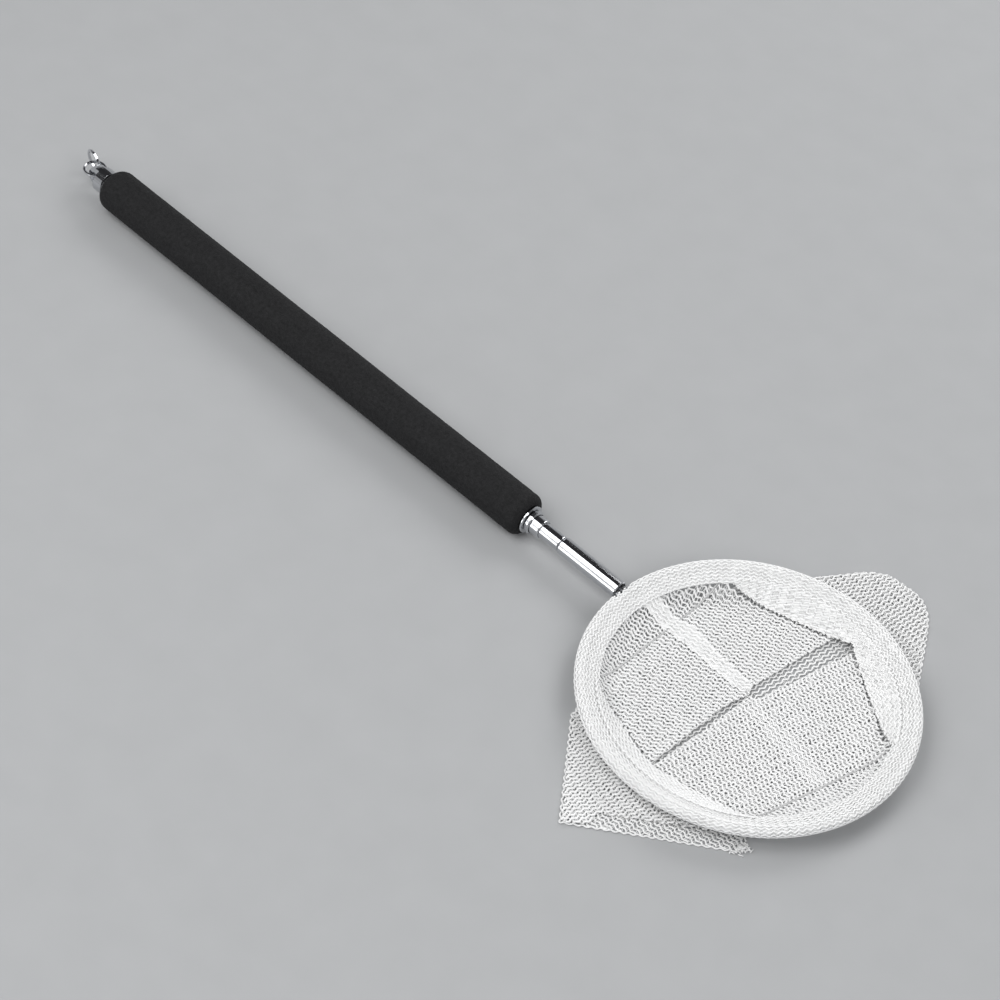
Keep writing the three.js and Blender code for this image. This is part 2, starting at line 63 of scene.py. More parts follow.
# Lamps: name, place, the point that it faces, diameter in metres and power in watts. The key and the
# low one draw the two bright strips on the chrome.
LAMPS = [
    ("key", (-0.5, -0.7, 1.1), (-0.1, 0, 0), 1.05, 9.9),
    ("low", (-0.485, -0.84, 0.19), (-0.09, 0, 0), 0.4, 1.0),
    ("fill", (0.8, -0.2, 0.8), (0, 0, 0), 0.8, 4.2),
    ("rim", (-0.2, 0.9, 0.7), (-0.1, 0, 0), 0.6, 4.6),
]

# World and floor. Metal mirrors the backdrop up to one height in the sky, and a dark ceiling from
# another, both as shares of straight up.
STUDIO_COLOR = (0.86, 0.87, 0.89, 1)
STUDIO_STRENGTH = 0.5
BACKDROP_COLOR = (0.43, 0.435, 0.445, 1)
BACKDROP_TOP = 0.3
CEILING_COLOR = (0.03, 0.03, 0.032, 1)
CEILING_START = 0.55
FLOOR_COLOR = (0.385, 0.39, 0.395)
FLOOR_LIGHTER = 1.03
FLOOR_REACH = 12
FLOOR_FADE_START = 0.45
FLOOR_FADE_END = 1.1

# Hoop and hem, in millimetres, as in the solids: the hem's two legs close to a thin edge, and its fold
# goes round the wire from one opening angle to the other
HOOP_RADIUS = 58.8
AXIS_HEIGHT = 8.5
HEM_SLOPE = math.radians(14)
HEM_BAND = 7.0
HEM_LEG = 0.8
HEM_THIN_EDGE = HEM_LEG * 0.4
HEM_FOLD_RADIUS = 1.95
HEM_FOLD_OPENING = 50
HEM_FOLD_POINTS = 19
HEM_NECK = 2.9
HEM_NECK_LENGTH = 2.0
HEM_NECK_SWELL = 0.25
HEM_OVERLAP = 0.6

# Gap in the hem for the end sleeve, in millimetres
SLEEVE_GAP_FRONT = -59.6
SLEEVE_GAP_SIDE = 4.2
SLEEVE_GAP_HEIGHT = 1.35

# Plan of the flattened bag's floor, in millimetres: creases on the handle side and on the far side,
# and the two ends of the slit
FOLD_NEAR_RIGHT = (-41.8, 34.3)
SLIT_RIGHT = (7.5, 49.0)
FOLD_FAR_RIGHT = (47.4, 22.1)
FOLD_FAR_LEFT = (33.9, -36.2)
SLIT_LEFT = (-4.1, -44.9)
FOLD_NEAR_LEFT = (-40.4, -33.7)
FLOOR = [FOLD_NEAR_RIGHT, SLIT_RIGHT, FOLD_FAR_RIGHT, FOLD_FAR_LEFT, SLIT_LEFT, FOLD_NEAR_LEFT]

# Flap edges on both sides of the slit, pinched at its middle and open at its right end, and the
# flaps' outlines, which run out past the wall
SLIT_NEAR = [(0.8, 47.6), (-1.4, 28.0), (-3.5, 7.7), (-2.0, 4.6), (-4.2, -5.8), (-4.3, -21.8), (-4.2, -44.9)]
SLIT_FAR = [(9.4, 48.2), (5.2, 27.0), (1.0, 6.0), (-1.8, 4.2), (-1.9, -6.2), (-2.4, -22.1), (-3.7, -45.3)]
NEAR_FLAP = [FOLD_NEAR_RIGHT, *SLIT_NEAR, FOLD_NEAR_LEFT, (-60, -60), (-75, 0), (-70, 50)]
FAR_FLAP = [*reversed(SLIT_FAR), FOLD_FAR_RIGHT, (75, 10), (60, -60), FOLD_FAR_LEFT]

# The slit's middle line, and how far the flaps' edges stand up along it, in millimetres
SLIT_LINE_Y = [-44.9, -22.0, 4.5, 28.0, 48.0]
SLIT_LINE_X = [-4.0, -3.3, -1.9, 1.9, 5.2]
SLIT_LIP_HEIGHT = 0.7
SLIT_LIP_WIDTH = 5.0

# Ears, in millimetres: outlines in plan, then how their upper layers rise towards the hoop
RIGHT_EAR = [(35.5, 52.5), (13.5, 88.6), (-9.0, 87.8), (-24.0, 63.5)]
RIGHT_EAR_INNER_FAR = (36.0, 40.0)
RIGHT_EAR_INNER_NEAR = (-30.0, 50.0)
LEFT_EAR_TIP = (-8.7, -84.7)
LEFT_EAR_NEAR = (-37.4, -48.5)
LEFT_EAR_FAR = (37.7, -49.2)
LEFT_EAR_RAGGED = (39.8, -44.4)
LEFT_EAR_INNER_NEAR = (-41.0, -36.0)
LEFT_EAR_INNER_FAR = (40, -30)
LEFT_EAR_INSET = 5.5
LEFT_EAR_TIP_FOLD = (7, 5.5)
LEFT_EAR_INSET_START = (10, 8)
LEFT_STRIP_WIDTH = 9.0
EAR_START_RADIUS = 50.0
EAR_ABOVE_BASE = 0.75
EAR_LIFT = 2.2
EAR_RISE_START = 70.0
EAR_RISE_WIDTH = 18.0
EAR_LOOSE = 0.1
PAST_THE_EARS = 200.0

# Heights above the table, in millimetres, and the wall that goes up to the hem
BASE_HEIGHT = 0.42
FLAP_HEIGHT = 1.45
FLAP_LOOSE = 0.16
WALL_TOP_RADIUS = 52.6
WALL_TOP_HEIGHT = 6.5
WALL_LEAST_WIDTH = 6.5
WALL_STEEPNESS = 1.6
WALL_FLATTENING = 0.6
WALL_END = 1.25

# Pale crescents over the bag's wall, in millimetres: how far their cloth lies above it
CRESCENT_LIFT = 1.55
CRESCENT_EDGE_LIFT = 0.5
CRESCENT_RISE = 6.0
CRESCENT_BEYOND = 1.0

# Doubled seam from the hem to the slit, and its faint far end under the far flap: middle lines and
# widths in millimetres
SEAM_PATH = [(-54.5, 6.2), (-49.8, 7.0), (-36.4, 8.7), (-27.5, 8.0), (-14.2, 6.8), (-2.6, 6.0)]
SEAM_WIDTHS = [6.5, 7.0, 9.0, 7.5, 6.5, 6.5]
SEAM_LIFT = 0.5
FAR_BAND_PATH = [(0.5, 2.0), (14.5, -1.0), (24.0, -1.5), (34.4, -4.3), (41.0, -5.6)]
FAR_BAND_WIDTHS = [6.5, 6.5, 7.0, 7.0, 6.0]
FAR_BAND_DEPTH = 0.35
BAND_POINT = 4

# Angles of the knitted rows, in degrees from the handle's line
NEAR_ROWS = 16.6
FAR_ROWS = -11.0
BASE_ROWS = 83.0
RIGHT_EAR_ROWS = BASE_ROWS + 2
LEFT_EAR_ROWS = BASE_ROWS - 6
LEFT_STRIP_ROWS = -5.0

# Ways of knitting, in millimetres: distance of the rows, length of one zigzag, radius of the yarn,
# share of the stitches that have a cross thread, and its radius
FLAP_KNIT = dict(pitch=1.72, period=3.2, radius=0.36, cross=0.95, cross_radius=0.16)
FAR_BAND_KNIT = dict(pitch=1.72, period=3.2, radius=0.28, cross=0.2, cross_radius=0.13)
BASE_KNIT = dict(pitch=1.66, period=3.2, radius=0.33, cross=0.3, cross_radius=0.13)
LEFT_STRIP_KNIT = dict(pitch=1.7, period=3.2, radius=0.34, cross=0.9, cross_radius=0.15)
RIGHT_EAR_KNIT = dict(pitch=1.72, period=3.1, radius=0.36, cross=0.8, cross_radius=0.13)
LEFT_EAR_KNIT = dict(pitch=1.55, period=3.0, radius=0.4, cross=0.95, cross_radius=0.17)
GUSSET_KNIT = dict(pitch=1.3, period=2.8, radius=0.37, cross=0.3, cross_radius=0.13)
HEM_KNIT = dict(pitch=1.3, period=2.8, radius=0.3, cross=0.55, cross_radius=0.13)
HALF_FLAP_ROW = 0.86

# Shape of one zigzag: points along it, its height as a share of its length, and how pointed it is
ZIGZAG_STEPS = 6
ZIGZAG_HEIGHT = 0.14
ZIGZAG_POINT = 0.95

# Unevenness of the knitting: how fast it changes along and across the rows, and its size as a share of
# the zigzag's length, the rows' distance or the yarn's radius
PHASE_RATE = (0.35, 0.8)
PHASE_SWING = 0.18
ROW_RATE = (0.5, 2.0)
ROW_SWING = 0.05
POINT_SCATTER = 0.012
YARN_WAIST = 0.9
YARN_KNOT = 0.28
YARN_SCATTER = 0.04
YARN_SIDES = 5
CROSS_SIDES = 3

# Scalloped thread along a knitted edge, and the crease's grey line, which is painted shade in the fold, in
# millimetres
EDGE_RADIUS = 0.36
EDGE_PERIOD = 3.1
EDGE_SWING = 0.3
EDGE_STEP = 0.5
CREASE_RADIUS = 0.34
CREASE_LIFT = 0.3
CREASE_STEPS = 90
CREASE_SPAN = (0.03, 0.97)

# Frayed corner, in millimetres: where its threads start and how far they scatter, which way they
# spread and lean, how long they are, and the least heights of their two ends
FRAY_COUNT = 60
FRAY_RADIUS = 0.2
FRAY_SIDES = 4
FRAY_HEIGHT = 0.9
FRAY_SCATTER = (0.8, 0.8, 0.2)
FRAY_SPREAD = (1, 1, 0.2)
FRAY_LEAN = (0.5, -0.2, 0.1)
FRAY_LENGTHS = (0.7, 1.9)
FRAY_ROOT_LOWEST = 0.35
FRAY_TIP_LOWEST = 0.3

# Loose cloth's waves, in radians for each millimetre, and the height of each
RIPPLE_WAVES = (0.09, 0.16, 0.27, 0.41)
RIPPLE_HEIGHT = 0.35

# How much of a side is kept and cut when a corner is rounded
CORNER_KEPT = 0.82
CORNER_CUT = 0.18

# Foam grip, in millimetres: rounded ends, bore with its lips, the mesh's fineness, and the relief
# with the rates at which its swell changes along and around
GRIP_REAR_ROUND = 4.4
GRIP_FRONT_ROUND = 3.2
GRIP_BORE = 3.95
GRIP_LIP = 1.5
GRIP_ROUND_POINTS = 9
GRIP_STEPS = 300
GRIP_AROUND = 112
GRIP_SEED = 71
GRIP_GRAIN = 0.035
GRIP_SWELL = 0.05
GRIP_SWELL_ALONG = 0.5
GRIP_SWELL_AROUND = 8
GRIP_LOWEST = 0.05

# Material slots of a net piece
THREAD = 0
BACKING = 1
# Slot of the creases' grey yarn, which is painted shade in the fold
CREASE_SHADE_SLOT = 2


# Camera and lamps


def add_camera():
    elevation = math.radians(CAMERA_ELEVATION)
    azimuth = math.radians(CAMERA_AZIMUTH)
    roll = math.radians(CAMERA_ROLL)
    back = Vector((
        math.cos(elevation) * math.cos(azimuth),
        math.cos(elevation) * math.sin(azimuth),
        math.sin(elevation),
    ))
    level = Vector((-math.sin(azimuth), math.cos(azimuth), 0.0))
    upright = back.cross(level)
    right = level * math.cos(roll) + upright * math.sin(roll)
    up = -level * math.sin(roll) + upright * math.cos(roll)
    data = bpy.data.cameras.new("camera")
    data.lens = CAMERA_LENS
    data.sensor_width = CAMERA_SENSOR
    data.clip_start = CAMERA_CLIP
    camera = bpy.data.objects.new("camera", data)
    place = Matrix((right, up, back)).transposed().to_4x4()
    place.translation = CAMERA_TARGET + back * CAMERA_DISTANCE
    camera.matrix_world = place
    bpy.context.scene.collection.objects.link(camera)
    bpy.context.scene.camera = camera


def add_lamp(name, place, aim, size, power):
    """A round soft lamp, which mirrors show and the camera itself doesn't."""
    data = bpy.data.lights.new(name, "AREA")
    data.shape = "DISK"
    data.size = size
    data.energy = power
    lamp = bpy.data.objects.new(name, data)
    lamp.location = place
    lamp.visible_camera = False
    lamp.rotation_euler = (Vector(place) - Vector(aim)).to_track_quat("Z", "Y").to_euler()
    bpy.context.scene.collection.objects.link(lamp)


# Materials


def node_material(name):
    material = bpy.data.materials.new(name)
    material.use_nodes = True
    tree = material.node_tree
    shader = tree.nodes["Principled BSDF"]
    return material, tree, shader


def noise_of(tree, scale, detail=3.0, rough=0.5, stretch=(1, 1, 1)):
    place = tree.nodes.new("ShaderNodeTexCoord")
    mapping = tree.nodes.new("ShaderNodeMapping")
    mapping.inputs["Scale"].default_value = stretch
    noise = tree.nodes.new("ShaderNodeTexNoise")
    noise.inputs["Scale"].default_value = scale
    noise.inputs["Detail"].default_value = detail
    noise.inputs["Roughness"].default_value = rough
    tree.links.new(place.outputs["Object"], mapping.inputs["Vector"])
    tree.links.new(mapping.outputs["Vector"], noise.inputs["Vector"])
    return noise.outputs["Fac"]


def ramp_of(tree, value, stops):
    ramp = tree.nodes.new("ShaderNodeValToRGB")
    elements = ramp.color_ramp.elements
    while len(elements) < len(stops):
        elements.new(0.5)
    for element, (at, color) in zip(elements, stops):
        element.position = at
        element.color = (*color, 1) if len(color) == 3 else color
    tree.links.new(value, ramp.inputs["Fac"])
    return ramp.outputs["Color"]


def paint(tree, shader, socket, value, stops):
    """Drives one socket of the shader by a value, through a ramp."""
    tree.links.new(ramp_of(tree, value, stops), shader.inputs[socket])


def grey(level):
    return (level, level, level)


def bump_of(tree, shader, height, distance, strength):
    bump = tree.nodes.new("ShaderNodeBump")
    bump.inputs["Distance"].default_value = distance
    bump.inputs["Strength"].default_value = strength
    tree.links.new(height, bump.inputs["Height"])
    tree.links.new(bump.outputs["Normal"], shader.inputs["Normal"])


def yarn_material(name, light, shade):
    material, tree, shader = node_material(name)
    tone = noise_of(tree, scale=900, detail=4, rough=0.6)
    paint(tree, shader, "Base Color", tone, [(0.3, shade), (0.7, light)])
    gloss = noise_of(tree, scale=2500, detail=2)
    paint(tree, shader, "Roughness", gloss, [(0.3, grey(0.55)), (0.7, grey(0.8))])
    fibre = noise_of(tree, scale=5200, detail=3, rough=0.6, stretch=(1, 1, 0.5))
    bump_of(tree, shader, fibre, distance=0.00012, strength=0.8)
    shader.inputs["Subsurface Weight"].default_value = 0.12
    shader.inputs["Subsurface Radius"].default_value = (0.001, 0.001, 0.001)
    shader.inputs["Subsurface Scale"].default_value = 0.6
    shader.inputs["Sheen Weight"].default_value = 0.15
    return material


def foam_material():
    """Black closed-cell foam, with its cells as small bumps."""
    material, tree, shader = node_material("foam")
    tone = noise_of(tree, scale=700, detail=5, rough=0.65)
    paint(tree, shader, "Base Color", tone, [(0.3, (0.007, 0.007, 0.0075)), (0.75, (0.019, 0.019, 0.02))])
    place = tree.nodes.new("ShaderNodeTexCoord")
    cells = tree.nodes.new("ShaderNodeTexVoronoi")
    cells.inputs["Scale"].default_value = 2100
    tree.links.new(place.outputs["Object"], cells.inputs["Vector"])
    paint(tree, shader, "Roughness", cells.outputs["Distance"], [(0.0, grey(0.95)), (0.7, grey(0.62))])
    bump_of(tree, shader, cells.outputs["Distance"], distance=0.00018, strength=0.9)
    shader.inputs["Specular IOR Level"].default_value = 0.22
    return material


def metal_material(name, light, shade, smooth, rough, stretch, scale):
    """Polished or drawn metal, whose roughness runs in streaks."""
    material, tree, shader = node_material(name)
    shader.inputs["Metallic"].default_value = 1.0
    tone = noise_of(tree, scale=120, detail=3)
    paint(tree, shader, "Base Color", tone, [(0.3, shade), (0.7, light)])
    streaks = noise_of(tree, scale=scale, detail=3, rough=0.6, stretch=stretch)
    paint(tree, shader, "Roughness", streaks, [(0.35, grey(smooth)), (0.7, grey(rough))])
    bump_of(tree, shader, streaks, distance=0.00001, strength=0.25)
    return material


YARN = yarn_material("yarn", light=(0.96, 0.96, 0.955), shade=(0.88, 0.88, 0.875))
DENSE_MESH = yarn_material("dense_mesh", light=(0.95, 0.95, 0.945), shade=(0.87, 0.87, 0.865))
# Grey yarn for the creases' lines: painted shade in the folds of the white net
CREASE_SHADE_YARN = yarn_material("crease_shade_yarn", light=grey(0.62), shade=grey(0.5))
FOAM = foam_material()
CHROME = metal_material("chrome", light=(0.66, 0.67, 0.69), shade=(0.58, 0.59, 0.61),
                        smooth=0.06, rough=0.16, stretch=(0.05, 1, 1), scale=900)
WIRE = metal_material("drawn_wire", light=(0.7, 0.71, 0.73), shade=(0.6, 0.61, 0.63),
                      smooth=0.18, rough=0.35, stretch=(1, 1, 1), scale=700)
BRASS = metal_material("brass", light=(0.78, 0.6, 0.3), shade=(0.68, 0.5, 0.24),
                       smooth=0.2, rough=0.4, stretch=(0.1, 1, 1), scale=700)

NODE_MATERIALS = {
    "outer_tube": CHROME, "front_washer": CHROME, "front_collar": CHROME, "rear_washer": CHROME,
    "butt_cap": CHROME, "middle_tube": CHROME, "inner_tube": CHROME, "end_sleeve": CHROME,
    "cap_ring": CHROME, "hang_ring": CHROME, "hoop_wire": WIRE, "foam_grip": FOAM,
    "middle_bush_upper": BRASS, "middle_bush_lower": BRASS,
    "inner_bush_upper": BRASS, "inner_bush_lower": BRASS,
}


def dress_nodes():
    for node, material in NODE_MATERIALS.items():
        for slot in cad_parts[node].material_slots:
            slot.material = material


# Plan shapes and heights, in millimetres


def inside_polygon(x, y, corners):
    inside = np.zeros(np.shape(x), bool)
    count = len(corners)
    for i in range(count):
        ax, ay = corners[i]
        bx, by = corners[(i + 1) % count]
        if ay == by:
            continue
        crosses = (ay > y) != (by > y)
        at = (bx - ax) * (y - ay) / (by - ay) + ax
        inside ^= crosses & (x < at)
    return inside


def within(corners, low=0.0, high=WALL_TOP_RADIUS):
    """Test for points inside a polygon and between two radii from the hoop's centre."""

    def test(points):
        x = points[..., 0]
        y = points[..., 1]
        radius = np.hypot(x, y)
        return inside_polygon(x, y, corners) & (radius >= low) & (radius <= high)

    return test


def outside_hoop(corners):
    """The same for an ear's upper layer, which starts under the hoop."""
    return within(corners, EAR_START_RADIUS, PAST_THE_EARS)


def along_path(path, widths):
    """Test for points in a band along a path that leads away from the handle, pointed at its end."""
    xs, ys = np.array(path).T

    def test(points):
        x = points[..., 0]
        share = (points[..., 1] - np.interp(x, xs, ys)) / np.interp(x, xs, widths)
        return (x > xs[0]) & (x < xs[-1] - np.abs(share) * BAND_POINT) & (np.abs(share) < 0.5)

    return test


def rounded_line(corners, rounds=3):
    """Chaikin's corner cutting, for an open line whose ends stay."""
    points = [np.array(corner, float) for corner in corners]
    for _ in range(rounds):
        cut = [points[0]]
        for a, b in zip(points[:-1], points[1:]):
            cut += [a * CORNER_KEPT + b * CORNER_CUT, a * CORNER_CUT + b * CORNER_KEPT]
        points = [*cut, points[-1]]
    return [tuple(point) for point in points]


def rounded(corners, rounds=3):
    """The same for a closed outline."""
    points = np.array(corners, float)
    for _ in range(rounds):
        after = np.roll(points, -1, axis=0)
        first = points * CORNER_KEPT + after * CORNER_CUT
        second = points * CORNER_CUT + after * CORNER_KEPT
        points = np.stack([first, second], 1).reshape(-1, 2)
    return [tuple(point) for point in points]


def between(a, b, share):
    return a[0] + (b[0] - a[0]) * share, a[1] + (b[1] - a[1]) * share


def moved(place, by):
    return place[0] + by[0], place[1] + by[1]


def beside_left_edge(inset):
    """The left ear's outer edge, moved inwards: its tip's and its far corner's new places."""
    ax, ay = LEFT_EAR_TIP
    bx, by = LEFT_EAR_FAR
    length = math.hypot(bx - ax, by - ay)
    inwards = -(by - ay) / length * inset, (bx - ax) / length * inset
    return moved(LEFT_EAR_TIP, inwards), moved(LEFT_EAR_FAR, inwards)


def floor_reach(x, y):
    """Distance from the centre to the floor's outline, in each point's direction."""
    length = np.hypot(x, y) + TINY
    dx = x / length
    dy = y / length
    best = np.full(np.shape(x), FAR_OFF)
    for i, (ax, ay) in enumerate(FLOOR):
        bx, by = FLOOR[(i + 1) % len(FLOOR)]
        ex = bx - ax
        ey = by - ay
        cross = dx * ey - dy * ex
        cross = np.where(np.abs(cross) < TINY, TINY, cross)
        reach = (ax * ey - ay * ex) / cross
        share = (ax * dy - ay * dx) / cross
        hit = (reach > 0) & (share >= -SLACK) & (share <= 1 + SLACK)
        best = np.where(hit, np.minimum(best, reach), best)
    return best


def ripple(x, y, seed):
    """Gentle unevenness of cloth that lies loose, about one unit high."""
    rng = np.random.default_rng(seed)
    total = np.zeros(np.shape(x))
    for wave in RIPPLE_WAVES:
        angle = rng.uniform(0, math.pi)
        phase = rng.uniform(0, 2 * math.pi)
        total = total + np.sin((x * math.cos(angle) + y * math.sin(angle)) * wave + phase) * RIPPLE_HEIGHT
    return total


def slit_lift(x, y):
    """The flaps' edges stand a little proud along the slit."""
    middle = np.interp(y, SLIT_LINE_Y, SLIT_LINE_X)
    return SLIT_LIP_HEIGHT * np.exp(-((x - middle) / SLIT_LIP_WIDTH) ** 2)


def base_height(x, y):
    return np.full(np.shape(x), BASE_HEIGHT)


def bag_height(x, y, seed=3):
    """Height of the bag's cloth: flat on the floor, then up the wall to the hem."""
    radius = np.hypot(x, y)
    crease = np.minimum(floor_reach(x, y), WALL_TOP_RADIUS - WALL_LEAST_WIDTH)
    share = np.clip((radius - crease) / (WALL_TOP_RADIUS - crease), 0, WALL_END)
    rise = share * share * (WALL_STEEPNESS - WALL_FLATTENING * share)
    flat = 1 - np.clip(share, 0, 1)
    loose = ripple(x, y, seed) * FLAP_LOOSE * flat
    return FLAP_HEIGHT + loose + slit_lift(x, y) * flat + (WALL_TOP_HEIGHT - FLAP_HEIGHT) * rise


def seam_height(x, y):
    return bag_height(x, y) + SEAM_LIFT


def under_flap(x, y):
    return bag_height(x, y) - FAR_BAND_DEPTH


def crescent_height(x, y):
    """The crescent's cloth leaves the flap at the floor's crease and lies higher over the wall."""
    rise = np.clip((np.hypot(x, y) - floor_reach(x, y)) / CRESCENT_RISE, 0, 1)
    lift = CRESCENT_EDGE_LIFT + (CRESCENT_LIFT - CRESCENT_EDGE_LIFT) * rise * (2 - rise)
    return bag_height(x, y, seed=4) + lift


def ear_height(seed):
    """Height of an ear's upper layer, which rises towards the hoop."""

    def height(x, y):
        rise = np.clip((EAR_RISE_START - np.hypot(x, y)) / EAR_RISE_WIDTH, 0, 1)
        return BASE_HEIGHT + EAR_ABOVE_BASE + ripple(x, y, seed) * EAR_LOOSE + EAR_LIFT * rise * rise

    return height


# Surfaces that are knitted over: u runs along the rows and v across them, in millimetres


def turned(angle):
    """Plan coordinates whose rows run at an angle, in degrees from the handle's line."""
    cosine = math.cos(math.radians(angle))
    sine = math.sin(math.radians(angle))

    def place(u, v):
        return u * cosine - v * sine, u * sine + v * cosine

    return place


def around_centre(u, v):
    """Plan coordinates whose rows are arcs about the hoop's centre."""
    angle = u / v
    beyond = np.where(np.abs(angle) > math.pi, FAR_OFF, 0.0)
    return v * np.cos(angle) + beyond, v * np.sin(angle)


def lying(place, height):
    """A surface from plan coordinates and a height."""

    def surface(u, v):
        x, y = place(u, v)
        return np.stack([x, y, height(x, y)], -1)

    return surface


def hem_section():
    """Points along the hem's section: up the band, round the wire and back under it."""
    fold = np.radians(np.linspace(HEM_FOLD_OPENING, 360 - HEM_FOLD_OPENING, HEM_FOLD_POINTS))
    legs_inward = [HEM_BAND, HEM_NECK + HEM_NECK_LENGTH, HEM_NECK]
    legs_apart = [HEM_THIN_EDGE, HEM_LEG, HEM_LEG + HEM_NECK_SWELL]
    upper_leg = [-apart for apart in legs_apart]
    inward = np.array([*legs_inward, *(HEM_FOLD_RADIUS * np.cos(fold)), *reversed(legs_inward)])
    down = np.array([*upper_leg, *(-HEM_FOLD_RADIUS * np.sin(fold)), *reversed(legs_apart)])
    radius = HOOP_RADIUS - math.cos(HEM_SLOPE) * inward + math.sin(HEM_SLOPE) * down
    height = AXIS_HEIGHT - math.sin(HEM_SLOPE) * inward - math.cos(HEM_SLOPE) * down
    return radius, height


def hem_surface():
    """The hem's skin, whose rows go round the hoop, and its length across them."""
    radius, height = hem_section()
    run = np.concatenate([[0], np.cumsum(np.hypot(np.diff(radius), np.diff(height)))])

    def surface(u, v):
        angle = u / HOOP_RADIUS
        r = np.interp(v, run, radius)
        z = np.interp(v, run, height)
        return np.stack([r * np.cos(angle), r * np.sin(angle), z], -1)

    return surface, run[-1]


def outside_sleeve(points):
    """Test for points that aren't in the hem's gap for the end sleeve."""
    x = points[..., 0]
    y = points[..., 1]
    z = points[..., 2]
    beside = np.abs(y) < SLEEVE_GAP_SIDE
    level = np.abs(z - AXIS_HEIGHT) < SLEEVE_GAP_HEIGHT
    return ~((x < SLEEVE_GAP_FRONT) & beside & level)


# Knitted mesh made of threads


def unit(a):
    return a / np.maximum(np.linalg.norm(a, axis=-1, keepdims=True), TINY)


def upwards(count):
    return np.tile((0.0, 0.0, 1.0), (count, 1))


def normals_of(surface, u, v, step=0.2):
    along = surface(u + step, v) - surface(u - step, v)
    across = surface(u, v + step) - surface(u, v - step)
    return unit(np.cross(along, across))


def make_piece(name, vertices, faces, slots, materials):
    """A smooth mesh object from points in millimetres."""
    mesh = bpy.data.meshes.new(name)
    mesh.from_pydata((np.asarray(vertices) * MM).tolist(), [], faces)
    for material in materials:
        mesh.materials.append(material)
    mesh.polygons.foreach_set("material_index", slots)
    mesh.polygons.foreach_set("use_smooth", [True] * len(faces))
    mesh.update()
    piece = bpy.data.objects.new(name, mesh)
    bpy.context.scene.collection.objects.link(piece)
    return piece


